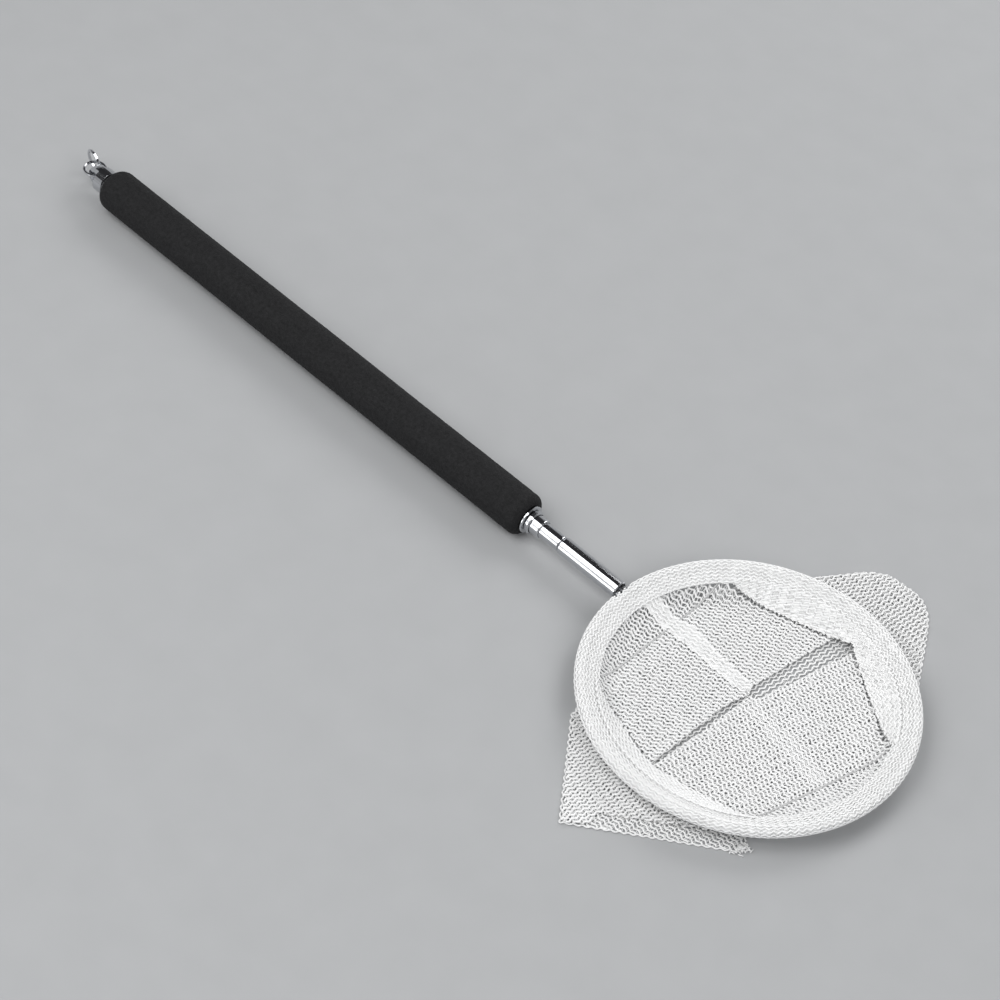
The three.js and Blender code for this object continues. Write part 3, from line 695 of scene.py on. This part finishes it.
class Cloth:
    """Collects threads and plain layers into one mesh."""

    def __init__(self):
        self.vertices = []
        self.faces = []
        self.slots = []
        self.count = 0

    def add(self, vertices, face_groups, slot):
        """Adds faces, in groups of the same number of corners, with the vertices that they use."""
        used, renumbered = np.unique(np.concatenate([np.ravel(g) for g in face_groups]), return_inverse=True)
        if len(used) == 0:
            return
        renumbered = np.ravel(renumbered) + self.count
        taken = 0
        for group in face_groups:
            size = np.size(group)
            self.faces.extend(renumbered[taken:taken + size].reshape(np.shape(group)).tolist())
            self.slots.extend([slot] * len(group))
            taken += size
        self.vertices.append(np.asarray(vertices)[used])
        self.count += len(used)

    def threads(self, start, end, normal, radius, sides, slot):
        """Straight threads between pairs of points."""
        along = unit(end - start)
        side = unit(np.cross(along, normal))
        over = np.cross(side, along)
        angles = 2 * math.pi * np.arange(sides) / sides
        ring = side[:, None] * np.cos(angles)[None, :, None] + over[:, None] * np.sin(angles)[None, :, None]
        low = start[:, None] + ring * radius
        high = end[:, None] + ring * radius
        vertices = np.concatenate([low, high], 1).reshape(-1, 3)
        base = np.arange(len(start))[:, None] * 2 * sides
        k = np.arange(sides)
        after = (k + 1) % sides
        faces = np.stack([base + k, base + after, base + after + sides, base + k + sides], -1)
        self.add(vertices, [faces.reshape(-1, 4), base + k[::-1], base + k + sides], slot)

    def line(self, points, radius, slot):
        """One thread along a line of points."""
        self.threads(points[:-1], points[1:], upwards(len(points) - 1), radius, YARN_SIDES, slot)

    def rows(self, points, normal, radius, keep, sides, slot):
        """Threads along the rows of a grid of points, as far as the points are kept."""
        tangent = unit(np.gradient(points, axis=1))
        side = unit(np.cross(tangent, normal))
        over = np.cross(side, tangent)
        angles = 2 * math.pi * np.arange(sides) / sides
        cosine = np.cos(angles)[None, None, :, None]
        sine = np.sin(angles)[None, None, :, None]
        ring = side[:, :, None] * cosine + over[:, :, None] * sine
        vertices = (points[:, :, None] + ring * radius[:, :, None, None]).reshape(-1, 3)
        base = np.arange(keep.size).reshape(keep.shape) * sides
        both = keep[:, :-1] & keep[:, 1:]
        low = base[:, :-1][both][:, None]
        high = base[:, 1:][both][:, None]
        k = np.arange(sides)
        after = (k + 1) % sides
        tube = np.stack([low + k, low + after, high + after, high + k], -1).reshape(-1, 4)
        edge = np.zeros((len(keep), 1), bool)
        ahead = np.concatenate([both, edge], 1)
        behind = np.concatenate([edge, both], 1)
        starts = base[ahead & ~behind][:, None] + k[::-1]
        ends = base[behind & ~ahead][:, None] + k
        self.add(vertices, [tube, starts, ends], slot)

    def knit(self, surface, inside, span, across, seed, pitch, period, radius, cross, cross_radius):
        """Rows of zigzag yarn over a stretch of a surface, tied by thin cross threads."""
        rng = np.random.default_rng(seed)
        u, v = np.meshgrid(np.arange(*span, period / ZIGZAG_STEPS), np.arange(*across, pitch))
        phase = u / period + ripple(u * PHASE_RATE[0], v * PHASE_RATE[1], seed) * PHASE_SWING
        wave = np.sin(2 * math.pi * phase)
        zigzag = np.arcsin(ZIGZAG_POINT * wave) / math.asin(ZIGZAG_POINT)
        sway = ripple(u * ROW_RATE[0], v * ROW_RATE[1], seed + 1) * pitch * ROW_SWING
        row_at = v + zigzag * (period * ZIGZAG_HEIGHT) + sway
        col_at = u + rng.normal(0, period * POINT_SCATTER, u.shape)
        points = surface(col_at, row_at)
        normal = normals_of(surface, col_at, row_at)
        keep = inside(points)
        swell = YARN_WAIST + YARN_KNOT * np.abs(zigzag) ** 3 + rng.normal(0, YARN_SCATTER, u.shape)
        self.rows(points, normal, radius * swell, keep, YARN_SIDES, THREAD)
        tie = keep[:-1] & keep[1:] & (rng.random(keep[:-1].shape) < cross)
        row, col = np.nonzero(tie)
        shift = np.clip(col + rng.integers(-1, 2, len(col)), 0, u.shape[1] - 1)
        fine = keep[row + 1, shift]
        row, col, shift = row[fine], col[fine], shift[fine]
        self.threads(points[row, col], points[row + 1, shift], normal[row, col], cross_radius,
                     CROSS_SIDES, THREAD)

    def layer(self, surface, inside, span, across, step, lower):
        """A plain layer that stands for the cloth's inner plies."""
        columns = np.arange(span[0], span[1] + step, step)
        rows = np.arange(across[0], across[1] + step, step)
        u, v = np.meshgrid(columns, rows)
        points = surface(u, v) - normals_of(surface, u, v) * lower
        keep = inside(points)
        index = np.arange(keep.size).reshape(keep.shape)
        full = keep[:-1, :-1] & keep[1:, :-1] & keep[:-1, 1:] & keep[1:, 1:]
        corners = [index[:-1, :-1], index[:-1, 1:], index[1:, 1:], index[1:, :-1]]
        faces = np.stack([c[full] for c in corners], -1)
        self.add(points.reshape(-1, 3), [faces], BACKING)

    def edge(self, corners, height):
        """A knitted edge: one thread with small scallops along a line of corners."""
        points = np.array(corners, float)
        run = np.concatenate([[0], np.cumsum(np.hypot(*np.diff(points, axis=0).T))])
        t = np.linspace(0, run[-1], int(run[-1] / EDGE_STEP))
        x = np.interp(t, run, points[:, 0])
        y = np.interp(t, run, points[:, 1])
        tangent = unit(np.gradient(np.stack([x, y], 1), axis=0))
        wave = EDGE_SWING * np.sin(2 * math.pi * t / EDGE_PERIOD)
        x = x - tangent[:, 1] * wave
        y = y + tangent[:, 0] * wave
        self.line(np.stack([x, y, height(x, y)], -1), EDGE_RADIUS, THREAD)

    def crease(self, start, end):
        """A crease of the bag: a narrow grey line across the rows, which is painted shade in the fold."""
        x, y = between(start, end, np.linspace(*CREASE_SPAN, CREASE_STEPS))
        self.line(np.stack([x, y, bag_height(x, y) + CREASE_LIFT], -1), CREASE_RADIUS, CREASE_SHADE_SLOT)

    def frays(self, start, end, seed):
        """Short loose threads about a torn edge between two places."""
        rng = np.random.default_rng(seed)
        x, y = between(start, end, rng.random(FRAY_COUNT))
        place = np.stack([x, y, np.full(FRAY_COUNT, FRAY_HEIGHT)], -1)
        root = place + rng.normal(0, 1, place.shape) * FRAY_SCATTER
        away = unit(rng.normal(0, 1, place.shape) * FRAY_SPREAD + FRAY_LEAN)
        tip = root + away * rng.uniform(*FRAY_LENGTHS, (FRAY_COUNT, 1))
        root[:, 2] = np.maximum(root[:, 2], FRAY_ROOT_LOWEST)
        tip[:, 2] = np.maximum(tip[:, 2], FRAY_TIP_LOWEST)
        self.threads(root, tip, upwards(FRAY_COUNT), FRAY_RADIUS, FRAY_SIDES, THREAD)


def net_piece(cloth, name, replaces):
    """Makes the cloth's piece, a sheet that rides with the net."""
    materials = [YARN, DENSE_MESH, CREASE_SHADE_YARN]
    piece = make_piece(name, np.concatenate(cloth.vertices), cloth.faces, cloth.slots, materials)
    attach(piece, "net")
    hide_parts(*replaces)


# Pieces of the net. span and across are the stretch of the surface from which the outline cuts a piece.


def make_base():
    """The lower layer, with both ears and the strip at the left ear's outer edge."""
    ear = rounded_line(RIGHT_EAR)
    tip_inner, far_inner = beside_left_edge(LEFT_STRIP_WIDTH)
    outline = [
        FOLD_FAR_RIGHT, *ear, FOLD_NEAR_RIGHT, FOLD_NEAR_LEFT, LEFT_EAR_NEAR,
        tip_inner, far_inner, FOLD_FAR_LEFT,
    ]
    strip = [LEFT_EAR_TIP, LEFT_EAR_FAR, LEFT_EAR_RAGGED, FOLD_FAR_LEFT, far_inner, tip_inner]
    cloth = Cloth()
    cloth.knit(lying(turned(BASE_ROWS), base_height), within(outline, high=PAST_THE_EARS),
               span=(-95, 95), across=(-60, 60), seed=21, **BASE_KNIT)
    cloth.knit(lying(turned(LEFT_STRIP_ROWS), base_height), within(strip, high=PAST_THE_EARS),
               span=(-15, 50), across=(-90, -30), seed=22, **LEFT_STRIP_KNIT)
    cloth.edge([FOLD_FAR_RIGHT, *ear, FOLD_NEAR_RIGHT], base_height)
    cloth.edge([FOLD_NEAR_LEFT, LEFT_EAR_NEAR, LEFT_EAR_TIP, LEFT_EAR_FAR, LEFT_EAR_RAGGED], base_height)
    net_piece(cloth, "bag_base",
              replaces=["net_base"])


def make_near_side():
    cloth = Cloth()
    cloth.knit(lying(turned(NEAR_ROWS), bag_height), within(NEAR_FLAP),
               span=(-75, 60), across=(-75, 62), seed=11, **FLAP_KNIT)
    cloth.crease(FOLD_NEAR_LEFT, FOLD_NEAR_RIGHT)
    net_piece(cloth, "bag_near_side",
              replaces=["net_bag"])


def make_far_side():
    cloth = Cloth()
    cloth.knit(lying(turned(FAR_ROWS), bag_height), within(FAR_FLAP),
               span=(-75, 75), across=(-70, 70), seed=12, **FLAP_KNIT)
    cloth.knit(lying(turned(FAR_ROWS), under_flap), along_path(FAR_BAND_PATH, FAR_BAND_WIDTHS),
               span=(-75, 75), across=(-70 + HALF_FLAP_ROW, 70), seed=13, **FAR_BAND_KNIT)
    cloth.crease(FOLD_FAR_LEFT, FOLD_FAR_RIGHT)
    net_piece(cloth, "bag_far_side",
              replaces=["net_bag"])


def make_right_ear():
    outline = rounded([RIGHT_EAR_INNER_FAR, *RIGHT_EAR, RIGHT_EAR_INNER_NEAR])
    cloth = Cloth()
    cloth.knit(lying(turned(RIGHT_EAR_ROWS), ear_height(seed=5)), outside_hoop(outline),
               span=(20, 95), across=(-60, 60), seed=31, **RIGHT_EAR_KNIT)
    net_piece(cloth, "right_ear",
              replaces=["net_base"])


def make_left_ear():
    """The left ear's upper layer, whose edge leaves the tip and runs inside the strip's, and its frays."""
    tip_inner, far_inner = beside_left_edge(LEFT_EAR_INSET)
    outline = [
        LEFT_EAR_INNER_NEAR, LEFT_EAR_NEAR, LEFT_EAR_TIP, moved(LEFT_EAR_TIP, LEFT_EAR_TIP_FOLD),
        moved(tip_inner, LEFT_EAR_INSET_START), far_inner, LEFT_EAR_INNER_FAR,
    ]
    cloth = Cloth()
    cloth.knit(lying(turned(LEFT_EAR_ROWS), ear_height(seed=6)), outside_hoop(outline),
               span=(-95, -20), across=(-60, 60), seed=32, **LEFT_EAR_KNIT)
    cloth.frays(LEFT_EAR_FAR, LEFT_EAR_RAGGED, seed=33)
    net_piece(cloth, "left_ear",
              replaces=["net_base"])


def make_gusset(name, corners, seed):
    """A pale crescent of several plies, from the floor's crease up to the hem."""
    inside = within(corners, high=WALL_TOP_RADIUS + CRESCENT_BEYOND)
    cloth = Cloth()
    cloth.knit(lying(around_centre, crescent_height), inside,
               span=(-170, 170), across=(36, 56), seed=seed, **GUSSET_KNIT)
    cloth.layer(lying(turned(0), crescent_height), inside,
                span=(-60, 60), across=(-60, 60), step=0.5, lower=0.28)
    net_piece(cloth, name,
              replaces=["net_bag"])


def make_gussets():
    right = [FOLD_NEAR_RIGHT, SLIT_RIGHT, FOLD_FAR_RIGHT, (90, 40), (0, 110), (-80, 60)]
    left = [FOLD_FAR_LEFT, SLIT_LEFT, FOLD_NEAR_LEFT, (-80, -60), (0, -110), (80, -60)]
    make_gusset("right_gusset", right, seed=41)
    make_gusset("left_gusset", left, seed=42)


def make_hem():
    surface, reach = hem_surface()
    around_hoop = 2 * math.pi * HOOP_RADIUS
    cloth = Cloth()
    cloth.knit(surface, outside_sleeve,
               span=(0, around_hoop + HEM_OVERLAP), across=(0.1, reach), seed=51, **HEM_KNIT)
    cloth.layer(surface, outside_sleeve,
                span=(0, around_hoop), across=(0.2, reach - 0.3), step=1.0, lower=-0.36)
    net_piece(cloth, "hem_cloth",
              replaces=["net_hem"])


def make_seam():
    inside = along_path(SEAM_PATH, SEAM_WIDTHS)
    cloth = Cloth()
    cloth.knit(lying(turned(NEAR_ROWS), seam_height), inside,
               span=(-75, 60), across=(-75 + HALF_FLAP_ROW, 62), seed=61, **FLAP_KNIT)
    cloth.layer(lying(turned(0), seam_height), inside,
                span=(-56, -1), across=(-10, 20), step=0.5, lower=0.2)
    net_piece(cloth, "seam_cloth",
              replaces=["side_seam"])


# Foam grip


def grip_profile():
    """The sleeve's half section, from the rear of its bore round the outside to the front."""
    low, high = (np.array(corner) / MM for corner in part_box("foam_grip"))
    rear = low[0]
    front = high[0]
    outer = (high[1] - low[1]) / 2
    fall = np.radians(np.linspace(0, 90, GRIP_ROUND_POINTS))
    rise = fall[::-1]
    body = np.linspace(rear + GRIP_REAR_ROUND, front - GRIP_FRONT_ROUND, GRIP_STEPS)[1:-1]
    x = [
        rear + GRIP_LIP,
        *(rear + GRIP_REAR_ROUND * (1 - np.sin(rise))),
        *body,
        *(front - GRIP_FRONT_ROUND * (1 - np.sin(fall))),
        front - GRIP_LIP,
    ]
    radius = [
        GRIP_BORE,
        *(outer - GRIP_REAR_ROUND * (1 - np.cos(rise))),
        *np.full(len(body), outer),
        *(outer - GRIP_FRONT_ROUND * (1 - np.cos(fall))),
        GRIP_BORE,
    ]
    return np.array(x), np.array(radius)


def make_grip():
    """The foam sleeve, with a fine grain and a gentle swell over its skin."""
    x, radius = grip_profile()
    rng = np.random.default_rng(GRIP_SEED)
    angle = 2 * math.pi * np.arange(GRIP_AROUND) / GRIP_AROUND
    grain = rng.normal(0, 1, (len(x), GRIP_AROUND))
    grain = (grain + np.roll(grain, 1, 0) + np.roll(grain, 1, 1) + np.roll(grain, 1, (0, 1))) / 4
    across = np.cos(angle)[None, :] * GRIP_SWELL_AROUND
    swell = ripple(x[:, None] * GRIP_SWELL_ALONG, across, GRIP_SEED + 1)
    relief = grain * GRIP_GRAIN + swell * GRIP_SWELL
    relief[[0, -1]] = 0
    skin_radius = radius[:, None] + relief
    vertices = np.stack([
        np.repeat(x[:, None], GRIP_AROUND, 1),
        skin_radius * np.cos(angle)[None, :],
        AXIS_HEIGHT + skin_radius * np.sin(angle)[None, :],
    ], -1)
    vertices[..., 2] = np.maximum(vertices[..., 2], GRIP_LOWEST)
    index = np.arange(len(x) * GRIP_AROUND).reshape(len(x), GRIP_AROUND)
    rolled = np.roll(index, -1, 1)
    skin = np.stack([index[:-1], rolled[:-1], rolled[1:], index[1:]], -1).reshape(-1, 4)
    bore = np.stack([index[-1], rolled[-1], rolled[0], index[0]], -1)
    faces = np.concatenate([skin, bore])[:, ::-1]
    piece = make_piece("foam_sleeve", vertices.reshape(-1, 3), faces.tolist(), [0] * len(faces), [FOAM])
    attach(piece, "handle")
    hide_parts("foam_grip")


# World and floor


def seen_directly(tree):
    """One for rays from the camera, or by way of a mirror or glass, which show the backdrop's colour."""
    path = tree.nodes.new("ShaderNodeLightPath")
    either = tree.nodes.new("ShaderNodeMath")
    either.operation = "MAXIMUM"
    tree.links.new(path.outputs["Is Camera Ray"], either.inputs[0])
    tree.links.new(path.outputs["Is Glossy Ray"], either.inputs[1])
    any_of = tree.nodes.new("ShaderNodeMath")
    any_of.operation = "MAXIMUM"
    tree.links.new(either.outputs[0], any_of.inputs[0])
    tree.links.new(path.outputs["Is Transmission Ray"], any_of.inputs[1])
    return any_of.outputs[0]


def make_world():
    """Soft light from all round, and the backdrop where it is seen directly."""
    world = bpy.data.worlds.new("studio")
    world.use_nodes = True
    tree = world.node_tree
    studio = tree.nodes["Background"]
    studio.inputs["Color"].default_value = STUDIO_COLOR
    studio.inputs["Strength"].default_value = STUDIO_STRENGTH
    backdrop = tree.nodes.new("ShaderNodeBackground")
    place = tree.nodes.new("ShaderNodeTexCoord")
    axes = tree.nodes.new("ShaderNodeSeparateXYZ")
    tree.links.new(place.outputs["Generated"], axes.inputs["Vector"])
    stops = [(0.0, BACKDROP_COLOR), (BACKDROP_TOP, BACKDROP_COLOR), (CEILING_START, CEILING_COLOR)]
    paint(tree, backdrop, "Color", axes.outputs["Z"], stops)
    backdrop.inputs["Strength"].default_value = 1.0
    mix = tree.nodes.new("ShaderNodeMixShader")
    tree.links.new(seen_directly(tree), mix.inputs["Fac"])
    tree.links.new(studio.outputs[0], mix.inputs[1])
    tree.links.new(backdrop.outputs[0], mix.inputs[2])
    tree.links.new(mix.outputs[0], tree.nodes["World Output"].inputs["Surface"])
    bpy.context.scene.world = world


def floor_material():
    """A pale matte floor that runs into the backdrop's colour further out."""
    material, tree, shader = node_material("floor")
    grain = noise_of(tree, scale=60, detail=4)
    lighter = [channel * FLOOR_LIGHTER for channel in FLOOR_COLOR]
    paint(tree, shader, "Base Color", grain, [(0.3, FLOOR_COLOR), (0.7, lighter)])
    shader.inputs["Roughness"].default_value = 0.9
    shader.inputs["Specular IOR Level"].default_value = 0.2
    place = tree.nodes.new("ShaderNodeNewGeometry")
    length = tree.nodes.new("ShaderNodeVectorMath")
    length.operation = "LENGTH"
    tree.links.new(place.outputs["Position"], length.inputs[0])
    fade = tree.nodes.new("ShaderNodeMapRange")
    fade.interpolation_type = "SMOOTHSTEP"
    fade.inputs["From Min"].default_value = FLOOR_FADE_START
    fade.inputs["From Max"].default_value = FLOOR_FADE_END
    tree.links.new(length.outputs["Value"], fade.inputs["Value"])
    share = tree.nodes.new("ShaderNodeMath")
    share.operation = "MULTIPLY"
    tree.links.new(seen_directly(tree), share.inputs[0])
    tree.links.new(fade.outputs["Result"], share.inputs[1])
    glow = tree.nodes.new("ShaderNodeEmission")
    glow.inputs["Color"].default_value = BACKDROP_COLOR
    glow.inputs["Strength"].default_value = 1.0
    mix = tree.nodes.new("ShaderNodeMixShader")
    tree.links.new(share.outputs[0], mix.inputs["Fac"])
    tree.links.new(shader.outputs[0], mix.inputs[1])
    tree.links.new(glow.outputs[0], mix.inputs[2])
    tree.links.new(mix.outputs[0], tree.nodes["Material Output"].inputs["Surface"])
    return material


def make_floor():
    mesh = bpy.data.meshes.new("floor")
    corners = [(-1, -1), (1, -1), (1, 1), (-1, 1)]
    mesh.from_pydata([(x * FLOOR_REACH, y * FLOOR_REACH, 0) for x, y in corners], [], [(0, 1, 2, 3)])
    mesh.materials.append(floor_material())
    floor = bpy.data.objects.new("floor", mesh)
    bpy.context.scene.collection.objects.link(floor)


add_camera()
make_base()
make_near_side()
make_far_side()
make_right_ear()
make_left_ear()
make_gussets()
make_hem()
make_seam()
make_grip()
for lamp in LAMPS:
    add_lamp(*lamp)
make_world()
make_floor()
bpy.context.scene.view_settings.view_transform = "Standard"
dress_nodes()
